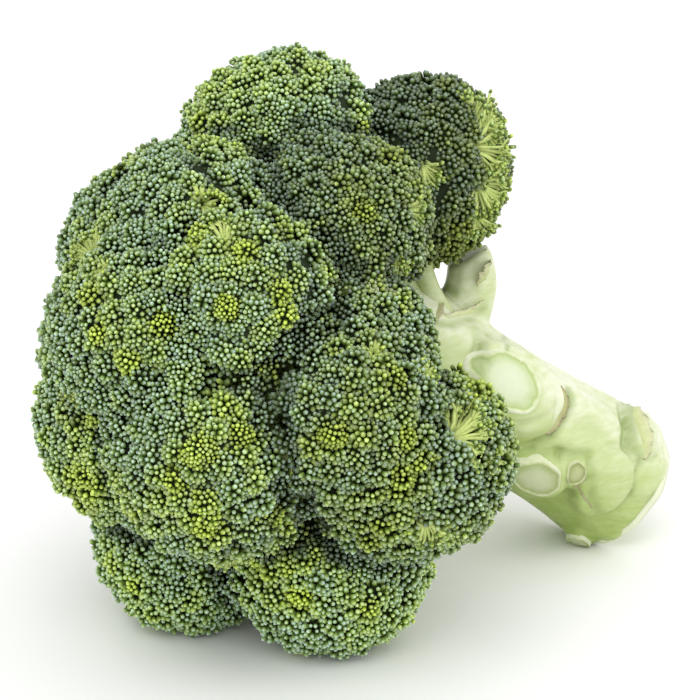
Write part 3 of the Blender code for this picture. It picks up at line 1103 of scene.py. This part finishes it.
# Stalk.
stalkSettings = {
    "voxel": 0.0012,
    "smoothing": 3,
    "end": (0.097122, -0.001520, 0.018200),  # middle of the cut end
    "tilt": math.radians(35.0),
    "radius": 0.0212,
    "probe": 0.004,
    "core": 0.004,  # nearer to the axis nothing moves
    "near": (0.030, 0.096),  # how far from the axis and from the cut end the forms reach
    "furrowReach": (2.2, 1.8),  # of a furrow's depth and of its green, in its half widths
    "greenInside": (0.070, 0.03, 0.10),  # where it starts, over what length, and how much
    # painted shade on the underside: how fast it comes in, and from where
    "paintedShadeBelow": (1.35, 0.25),
    # painted shade in creases: how fast, from where and at most
    "creases": (2.6, 0.04, 0.85),
}
stalkColours = [
    (0.05, (0.270, 0.370, 0.070)),
    (0.34, (0.410, 0.510, 0.165)),
    (0.62, (0.550, 0.625, 0.325)),
    (0.88, (0.740, 0.765, 0.590)),
]
# Dark green for the stalk's real marks and for painted shade in its furrows and creases.
stalkMarkAndShadeGreen = (0.225, 0.310, 0.070)
towardsEnd = Vector((math.cos(stalkSettings["tilt"]), 0, -math.sin(stalkSettings["tilt"])))
upperSide = Vector((math.sin(stalkSettings["tilt"]), 0, math.cos(stalkSettings["tilt"])))
nearSide = Vector((0, -1, 0))
stalkEnd = Vector(stalkSettings["end"])


def everySolid():
    whole = bmesh.new()
    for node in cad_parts.values():
        whole.from_mesh(node.data)
    tree = BVHTree.FromBMesh(whole)
    whole.free()
    return tree


def stalkPaint():
    paint = Paint("stalkSkin", roughness=0.42)
    streaks = paint.mottle(scale=420.0, roughness=0.6, turn=(0, stalkSettings["tilt"], 0), stretch=(0.22, 1.0, 1.0))
    patches = paint.mottle(scale=60.0)
    tone = paint.math("ADD", paint.math("MULTIPLY", streaks, 0.50), paint.math("MULTIPLY", patches, 0.50))
    # The 'low' attribute darkens and greens the skin: painted shade on the stalk's underside, and the greener skin
    # among the shoots.
    low = paint.math("MULTIPLY", paint.attribute("low"), 0.62)
    tone = paint.math("SUBTRACT", paint.math("ADD", tone, 0.28), low, clamp=True)
    # The 'mark' attribute greens the skin: real green marks, and painted shade in furrows and creases.
    paint.colour(paint.mix(paint.attribute("mark"), paint.ramp(tone, stalkColours), stalkMarkAndShadeGreen))
    paint.bump(streaks, strength=0.15, distance=0.0004)
    return paint.material


def stalkTree():
    bm = mergedCopy("stalk")
    tree = BVHTree.FromBMesh(bm)
    bm.free()
    return tree


# Raised places on the stalk: the photograph's pixel, half length, half width, rise and softness of the edge.
stalkForms = [
    (509, 381, 0.0172, 0.0104, 0.0052, 0.16),  # the cut shoot
    (534, 408, 0.0130, 0.0086, 0.0032, 0.30),  # the side wall below it
    (536, 478, 0.0120, 0.0080, 0.0034, 0.20),
    (576, 474, 0.0046, 0.0046, 0.0022, 0.40),
    (606, 487, 0.0092, 0.0112, 0.0048, 0.13),
    (637, 432, 0.0040, 0.0110, 0.0046, 0.16),
    (648, 468, 0.0062, 0.0090, 0.0032, 0.30),
    (590, 412, 0.0200, 0.0050, 0.0014, 0.70),
    (450, 318, 0.0040, 0.0090, 0.0012, 0.60),
]
# Furrows: the pixels that each follows, its half width, depth and how green it is. The green is partly real green
# marks, partly painted shade in the grooves and beside raised forms.
stalkFurrows = [
    ([(506, 444), (530, 449), (560, 453), (590, 455)], 0.0018, 0.0011, 0.45),
    ([(566, 392), (567, 405), (563, 420), (552, 436), (535, 442)], 0.0016, 0.0012, 0.80),
    ([(626, 404), (624, 425), (627, 445), (634, 460)], 0.0022, 0.0012, 0.70),
    ([(590, 458), (586, 475), (588, 492), (596, 505)], 0.0014, 0.0009, 0.60),
    ([(632, 528), (645, 512), (655, 495)], 0.0016, 0.0006, 0.75),
    ([(505, 336), (500, 344), (499, 352)], 0.0012, 0.0004, 0.70),
    ([(468, 322), (490, 336), (512, 344)], 0.0022, 0.0005, 0.30),
    ([(575, 372), (592, 384), (604, 398)], 0.0012, 0.0005, 0.45),
    ([(436, 322), (452, 324), (470, 318), (484, 308)], 0.0014, 0.0008, 0.55),
]


def onStalk(places):
    # Distance from the cut end, angle up from the near side, distance from the axis, and the way out from it.
    end = np.array(stalkSettings["end"])
    along = (end - places) @ np.array(towardsEnd)
    spokes = places - (end - along[:, None] * np.array(towardsEnd))
    angle = np.arctan2(spokes @ np.array(upperSide), spokes @ np.array(nearSide))
    return along, angle, np.linalg.norm(spokes, axis=1), spokes


def sculptStalk(bm, tree):
    # Raises the forms and sinks the furrows. Gives how green each point is: along the furrows, partly real green
    # marks and partly painted shade in the grooves.
    places = np.array([vert.co for vert in bm.verts])
    along, angle, reach, spokes = onStalk(places)
    moved = reach.copy()
    near = (reach < stalkSettings["near"][0]) & (along < stalkSettings["near"][1])
    for x, y, halfLength, halfWidth, rise, soft in stalkForms:
        hit = tree.ray_cast(*pixelRay(x, y))[0]
        if not hit:
            print("no seat for the form at", x, y)
            continue
        s, turn = (value[0] for value in onStalk(np.array([hit]))[:2])
        lengthwise = (along - s) / halfLength
        sideways = (angle - turn) * stalkSettings["radius"] / halfWidth
        inside = np.clip((1 + soft - np.hypot(lengthwise, sideways)) / (2 * soft), 0, 1)
        share = inside * inside * (3 - 2 * inside)
        target = stalkSettings["radius"] + rise
        moved = np.where(near & (share > 0), np.maximum(moved, moved + (target - moved) * share), moved)
    mark = np.zeros(len(places))
    depthReach, greenReach = stalkSettings["furrowReach"]
    for line, halfWidth, depth, strength in stalkFurrows:
        hits = [tree.ray_cast(*pixelRay(x, y))[0] for x, y in line]
        hits = [np.array(hit) for hit in hits if hit]
        for a, b in zip(hits, hits[1:]):
            t = np.clip((places - a) @ (b - a) / max((b - a) @ (b - a), 1e-12), 0, 1)
            apart = np.linalg.norm(places - (a + t[:, None] * (b - a)), axis=1)
            mark = np.maximum(mark, strength * np.clip(1 - apart / (greenReach * halfWidth), 0, 1))
            moved = moved - depth * np.clip(1 - apart / (depthReach * halfWidth), 0, 1) ** 2
    for vert, old, new, spoke in zip(bm.verts, reach, moved, spokes):
        if old > stalkSettings["core"]:
            vert.co += Vector(spoke) * ((new - old) / old)
            vert.co.z = max(vert.co.z, 0.0)
    return mark


def buildStalk():
    bm = evenFaces(mergedCopy("stalk"), stalkSettings["voxel"])
    soften(bm, stalkSettings["smoothing"])
    mark = sculptStalk(bm, stalkTree())
    soften(bm, 1)
    bm.normal_update()
    tree = BVHTree.FromBMesh(bm)
    along, angle = onStalk(np.array([vert.co for vert in bm.verts]))[:2]
    start, length, amount = stalkSettings["greenInside"]
    inside = amount * np.clip((along - start) / length, 0, 1)  # greener among the shoots
    # Darker and greener on the underside: painted shade.
    steep, start = stalkSettings["paintedShadeBelow"]
    below = np.clip(steep * (0.5 - 0.5 * np.sin(angle)) - start, 0, 1)
    skin = stalkPaint()
    piece = makePiece(bm, "stalk_flesh", [skin])
    # Painted shade in the stalk's creases, from how closed in the skin is round each point.
    probe, (steep, start, most) = stalkSettings["probe"], stalkSettings["creases"]
    gaps = [tree.find_nearest(vert.co + vert.normal * probe)[3] for vert in piece.data.vertices]
    crease = 1 - np.array(gaps) / probe
    mark = np.maximum(mark, np.clip(steep * (crease - start), 0, most))
    triangles = finishStalkPiece(piece, low=np.clip(below + inside, 0, 1), mark=mark)
    cut, bract = cutPaint(), bractPaint()
    triangles += sum(buildCutFace(name, tree, cut, **shape) for name, shape in cutFaces.items())
    triangles += buildCutEnd(cut)
    triangles += sum(buildBract(name, tree, bract, **shape) for name, shape in bracts.items())
    triangles += sum(buildSmallStem(name, skin, **shape) for name, shape in smallStems.items())
    return triangles


def finishStalkPiece(piece, **values):
    setAttributes(piece.data, **values)
    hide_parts("stalk")
    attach(piece, "root")
    triangles = trianglesOf(piece.data)
    print(piece.name, triangles, "triangles")
    return triangles


# Cut faces: the photograph's pixel, or for one it doesn't show the distance from the cut end and the angle
# up from the near side in degrees. Then half length, half width, how far the rim stands up, and how brown
# the face is.
cutFaces = {
    "cut_shoot_face": dict(pixel=(509, 381), halfLength=0.0152, halfWidth=0.0088, rim=0.0005, brown=0.0),
    "cut_shoot_low_face": dict(pixel=(536, 478), halfLength=0.0104, halfWidth=0.0068, rim=0.0004, brown=0.45),
    "leaf_scar_face": dict(pixel=(576, 474), halfLength=0.0034, halfWidth=0.0038, rim=0.0006, brown=0.85),
    "end_stub_face": dict(spot=(0.008, -72.0), halfLength=0.0050, halfWidth=0.0038, rim=0.0005, brown=0.35),
    "leaf_scar_far_face": dict(spot=(0.040, 150.0), halfLength=0.0060, halfWidth=0.0048, rim=0.0007, brown=0.70),
    "cut_shoot_far_face": dict(spot=(0.066, 196.0), halfLength=0.0098, halfWidth=0.0060, rim=0.0009, brown=0.15),
}
cutSettings = {
    "rings": [0.94, 0.88, 0.82, 0.74, 0.62, 0.44, 0.22],
    "segments": 56,
    "proud": 0.0008,
    "rimAt": (0.93, 0.09),
    "wobble": ((0.035, 3), (0.02, 7)),  # share and waves of each
    "unevenness": 0.0002,
    "grain": (1.9, 90.0),
    "probe": (0.008, 0.020),  # from how far out the skin is looked for, and how deep
    "farProbe": 0.05,
    "skirt": 0.0020,
    "lowest": 0.00005,
}
cutColours = {
    "fresh": [
        (0.00, (0.680, 0.730, 0.550)),
        (0.52, (0.620, 0.690, 0.460)),
        (0.74, (0.480, 0.580, 0.280)),
        (0.82, (0.400, 0.500, 0.180)),
        (0.88, (0.600, 0.670, 0.380)),
        (0.96, (0.740, 0.780, 0.580)),
    ],
    "dried": [
        (0.00, (0.440, 0.460, 0.220)),
        (0.50, (0.360, 0.390, 0.150)),
        (0.80, (0.240, 0.270, 0.080)),
        (0.93, (0.520, 0.550, 0.300)),
    ],
}


def cutPaint():
    paint = Paint("cutFlesh", roughness=0.55)
    place = paint.drift(paint.attribute("ring"), scale=300.0, amount=0.26)
    fresh, dried = paint.ramp(place, cutColours["fresh"]), paint.ramp(place, cutColours["dried"])
    paint.colour(paint.mix(paint.attribute("brown"), fresh, dried))
    paint.bump(paint.mottle(scale=900.0), strength=0.35, distance=0.0004)
    return paint.material


def ringedDisc(rings, segments):
    # A flat disc of radius 1 in rings, with a skirt. Its layer "ring" holds each point's ring.
    bm = bmesh.new()
    bmesh.ops.create_circle(bm, cap_ends=True, segments=segments, radius=1.0)
    layer = bm.verts.layers.float.new("ring")
    top, last = bm.faces[:][0], 1.0
    for vert in bm.verts:
        vert[layer] = 1.0
    for ring in rings:
        bmesh.ops.inset_region(bm, faces=[top], thickness=last - ring, use_boundary=True)
        for vert in top.verts:
            vert[layer] = ring
        last = ring
    bmesh.ops.poke(bm, faces=[top])
    wall = bmesh.ops.extrude_edge_only(bm, edges=[edge for edge in bm.edges if edge.is_boundary])
    bmesh.ops.contextual_create(bm, geom=[edge for edge in bm.edges if edge.is_boundary])
    return bm, layer, {item for item in wall["geom"] if isinstance(item, bmesh.types.BMVert)}


def finishDisc(bm, name, material, brown):
    for vert in bm.verts:
        vert.co.z = max(vert.co.z, cutSettings["lowest"])
    bmesh.ops.recalc_face_normals(bm, faces=bm.faces[:])
    return finishStalkPiece(makePiece(bm, name, [material]), brown=brown)


def buildCutFace(name, tree, material, halfLength, halfWidth, rim, brown, pixel=None, spot=None):
    if pixel:
        seat = tree.ray_cast(*pixelRay(*pixel))[0]
        along = (stalkEnd - seat).dot(towardsEnd)
        outwards = (seat - (stalkEnd - towardsEnd * along)).normalized()
    else:
        along, angle = spot[0], math.radians(spot[1])
        outwards = nearSide * math.cos(angle) + upperSide * math.sin(angle)
        seat = tree.ray_cast(stalkEnd - towardsEnd * along + outwards * cutSettings["farProbe"], -outwards)[0]
    sideways = outwards.cross(towardsEnd)
    (slow, waves), (quick, ripples) = cutSettings["wobble"]
    rimAt, rimWidth = cutSettings["rimAt"]
    (fine, shift), (probe, deepest) = cutSettings["grain"], cutSettings["probe"]
    bm, layer, skirt = ringedDisc(cutSettings["rings"], cutSettings["segments"])
    for vert in bm.verts:
        ring, across, over = vert[layer], vert.co.x, vert.co.y
        turn = math.atan2(over, across)
        wobble = 1 + slow * math.sin(waves * turn + along * 200) + quick * math.sin(ripples * turn)
        place = seat + towardsEnd * (across * halfLength * wobble) + sideways * (over * halfWidth * wobble)
        ground = tree.ray_cast(place + outwards * probe, -outwards, deepest)[0] or place
        uneven = cutSettings["unevenness"] * noise.noise(Vector((across * fine, over * fine, along * shift)))
        lift = cutSettings["proud"] + rim * max(0.0, 1 - abs(ring - rimAt) / rimWidth) + uneven
        lift -= (rim + cutSettings["proud"]) * (ring == 1.0)
        vert.co = ground + outwards * (-cutSettings["skirt"] if vert in skirt else lift)
    return finishDisc(bm, name, material, brown)


cutEnd = {
    "radius": 0.0238,
    "fill": 0.975,
    "wobble": ((0.015, 5), (0.01, 11)),  # share and waves of each
    "rings": [0.965, 0.93, 0.88, 0.80, 0.66, 0.45, 0.22],
    "segments": 72,
    "hollow": 0.0006,
    "edge": 0.0004,
    "lift": 0.0003,
    "unevenness": 0.0003,
    "skirt": 0.0030,
    "brown": 0.10,
}


def buildCutEnd(material):
    # The cut face at the end: pale pith, a greener ring of vessels and a pale rim.
    (slow, waves), (quick, ripples) = cutEnd["wobble"]
    bm, layer, skirt = ringedDisc(cutEnd["rings"], cutEnd["segments"])
    for vert in bm.verts:
        ring, across, over = vert[layer], vert.co.x, vert.co.y
        turn = math.atan2(over, across)
        wobble = slow * math.sin(waves * turn), quick * math.sin(ripples * turn + 1)
        reach = cutEnd["radius"] * (cutEnd["fill"] + wobble[0] + wobble[1])
        lift = cutEnd["lift"] - cutEnd["hollow"] * (1 - ring**3) - cutEnd["edge"] * (ring == 1.0)
        lift += cutEnd["unevenness"] * noise.noise(Vector((across * 3, over * 3, 2.0))) * (1 - ring)
        if vert in skirt:
            lift = -cutEnd["skirt"]
        vert.co = stalkEnd + (nearSide * across + upperSide * over) * reach + towardsEnd * lift
        vert.co.x = min(vert.co.x, highCorner[0])
    return finishDisc(bm, "cut_end_face", material, cutEnd["brown"])


# Bracts and torn edges that stand on the stalk and its branches: the photograph's pixels that each one
# follows, its width, how far its free edge lifts off the skin, and how dry it is.
bracts = {
    "torn_edge": dict(
        line=[(560, 386), (564, 398), (562, 412), (555, 424), (546, 433)], width=0.0034, lift=0.0016, dry=0.75
    ),
    "curled_bract": dict(line=[(478, 284), (483, 276), (487, 268), (489, 260)], width=0.0044, lift=0.0044, dry=0.40),
    "dried_bract": dict(line=[(444, 288), (439, 300), (436, 312), (433, 326)], width=0.0032, lift=0.0012, dry=0.65),
    "collar_edge": dict(
        line=[(436, 316), (450, 318), (464, 315), (476, 308), (484, 300)], width=0.0026, lift=0.0016, dry=0.20
    ),
    "end_flange": dict(
        line=[(626, 404), (634, 414), (640, 428), (644, 444), (643, 458)], width=0.0066, lift=0.0024, dry=0.22
    ),
    "scar_edge": dict(line=[(566, 470), (574, 484), (582, 496), (592, 508)], width=0.0020, lift=0.0010, dry=0.70),
}
bractSettings = {
    "steps": 24,
    "rows": 4,
    "thickness": 0.0005,
    "sink": 0.0004,
    "ends": (0.04, 0.06),  # how full the width and the lift stay at the ends
    "frill": ((0.16, 23), (0.12, 57)),  # share and waves of each
    "curves": (0.6, 1.6, 0.5),  # powers of its width, its rise over the width and its rise along the line
    "step": 0.05,
}
bractColours = {
    "green": [(0.0, (0.430, 0.520, 0.190)), (0.6, (0.590, 0.650, 0.330)), (1.0, (0.700, 0.720, 0.450))],
    "brown": [(0.0, (0.260, 0.260, 0.080)), (0.6, (0.390, 0.370, 0.150)), (1.0, (0.200, 0.160, 0.055))],
}


# Small stems between the stalk and the florets beside it: the pixels that each follows, and its radii. They
# lie at the depth of a point beside the stalk's fork.
smallStems = {
    "side_stem": dict(
        line=[(446, 322), (432, 296), (424, 274), (418, 250)], radii=(0.0042, 0.0034, 0.0032, 0.0040)
    ),
    "side_stem_low": dict(
        line=[(438, 330), (424, 306), (412, 290), (398, 272)], radii=(0.0038, 0.0030, 0.0028, 0.0034)
    ),
}
smallStemShift = (0.020, -0.006, 0.0)


def buildSmallStem(name, material, line, radii):
    depth = (Vector(facesFrom["rest"]) + Vector(smallStemShift) - cameraEye).dot(cameraLook)
    curve = bpy.data.curves.new(name, "CURVE")
    curve.dimensions = "3D"
    curve.bevel_depth, curve.bevel_resolution, curve.use_fill_caps = 1.0, 4, True
    spline = curve.splines.new("BEZIER")
    spline.bezier_points.add(len(line) - 1)
    for knot, (x, y), radius in zip(spline.bezier_points, line, radii):
        eye, way = pixelRay(x, y)
        knot.co = eye + way * (depth / way.dot(cameraLook))
        knot.radius = radius
        knot.handle_left_type = knot.handle_right_type = "AUTO"
    rough = addObject("rough", curve)
    tube = bpy.data.meshes.new_from_object(rough.evaluated_get(bpy.context.evaluated_depsgraph_get()))
    bpy.data.objects.remove(rough)
    bm = bmesh.new()
    bm.from_mesh(tube)
    bmesh.ops.remove_doubles(bm, verts=bm.verts[:], dist=0.00002)
    bmesh.ops.recalc_face_normals(bm, faces=bm.faces[:])
    return finishStalkPiece(makePiece(bm, name, [material]), low=0.42, mark=0.0)


def bractPaint():
    paint = Paint("bractSkin", roughness=0.6)
    edge = paint.attribute("edge")
    dry = paint.drift(paint.attribute("dry"), scale=500.0, amount=0.6)
    paint.colour(paint.mix(dry, paint.ramp(edge, bractColours["green"]), paint.ramp(edge, bractColours["brown"])))
    paint.bump(paint.mottle(scale=1200.0), strength=0.3, distance=0.0003)
    return paint.material


def buildBract(name, tree, material, line, width, lift, dry):
    hits = [tree.ray_cast(*pixelRay(x, y))[:2] for x, y in line]
    places, normals = (np.array(column) for column in zip(*[hit for hit in hits if hit[0]]))
    stations = np.linspace(0, 1, len(places))

    def at(values, t):
        return Vector([float(np.interp(t, stations, values[:, axis])) for axis in range(3)])

    bm = bmesh.new()
    bmesh.ops.create_grid(bm, x_segments=bractSettings["steps"], y_segments=bractSettings["rows"], size=0.5)
    edge = bm.verts.layers.float.new("edge")
    (slow, waves), (quick, ripples) = bractSettings["frill"]
    widthEnd, liftEnd = bractSettings["ends"]
    blunt, curl, arch = bractSettings["curves"]
    step = bractSettings["step"]
    for vert in bm.verts:
        t, v = vert.co.x + 0.5, vert.co.y + 0.5
        ahead, behind = at(places, min(t + step, 1)), at(places, max(t - step, 0))
        side = at(normals, t).normalized().cross(ahead - behind).normalized()
        full = math.sin(math.pi * min(max(t, widthEnd), 1 - widthEnd)) ** blunt
        wide = width * full * (1 + slow * math.sin(t * waves) + quick * math.sin(t * ripples))
        seat, up, _, _ = tree.find_nearest(at(places, t) + side * wide * (v - 0.5))
        rise = lift * v**curl * math.sin(math.pi * min(max(t, liftEnd), 1 - liftEnd)) ** arch
        vert[edge] = v
        vert.co = seat + up * (rise - bractSettings["sink"])
    bmesh.ops.solidify(bm, geom=bm.faces[:], thickness=bractSettings["thickness"])
    bmesh.ops.recalc_face_normals(bm, faces=bm.faces[:])
    return finishStalkPiece(makePiece(bm, name, [material]), dry=dry)


placeCamera()
buildStudio()
total = buildStalk()
head = Head()
print("skin of the head:", len(head.skin.faces), "faces")
spots = findSpots(head)
dice = random.Random(budSettings["seed"])
clusters = Clusters(head, spots, dice)
buds = setBuds(head, clusters, dice)
print("clusters:", len(clusters.list), "buds:", sum(map(len, buds.values())))
solids = everySolid()
shapes = {"bud": budShape(), "stalklet": stalkletShape()}
budMaterials = [budPaint(), fleshAndShadePaint()]
for name in florets:
    total += buildFloret(head, name, spots[name], buds[name], shapes, solids, budMaterials)
print("dressed:", total, "triangles")
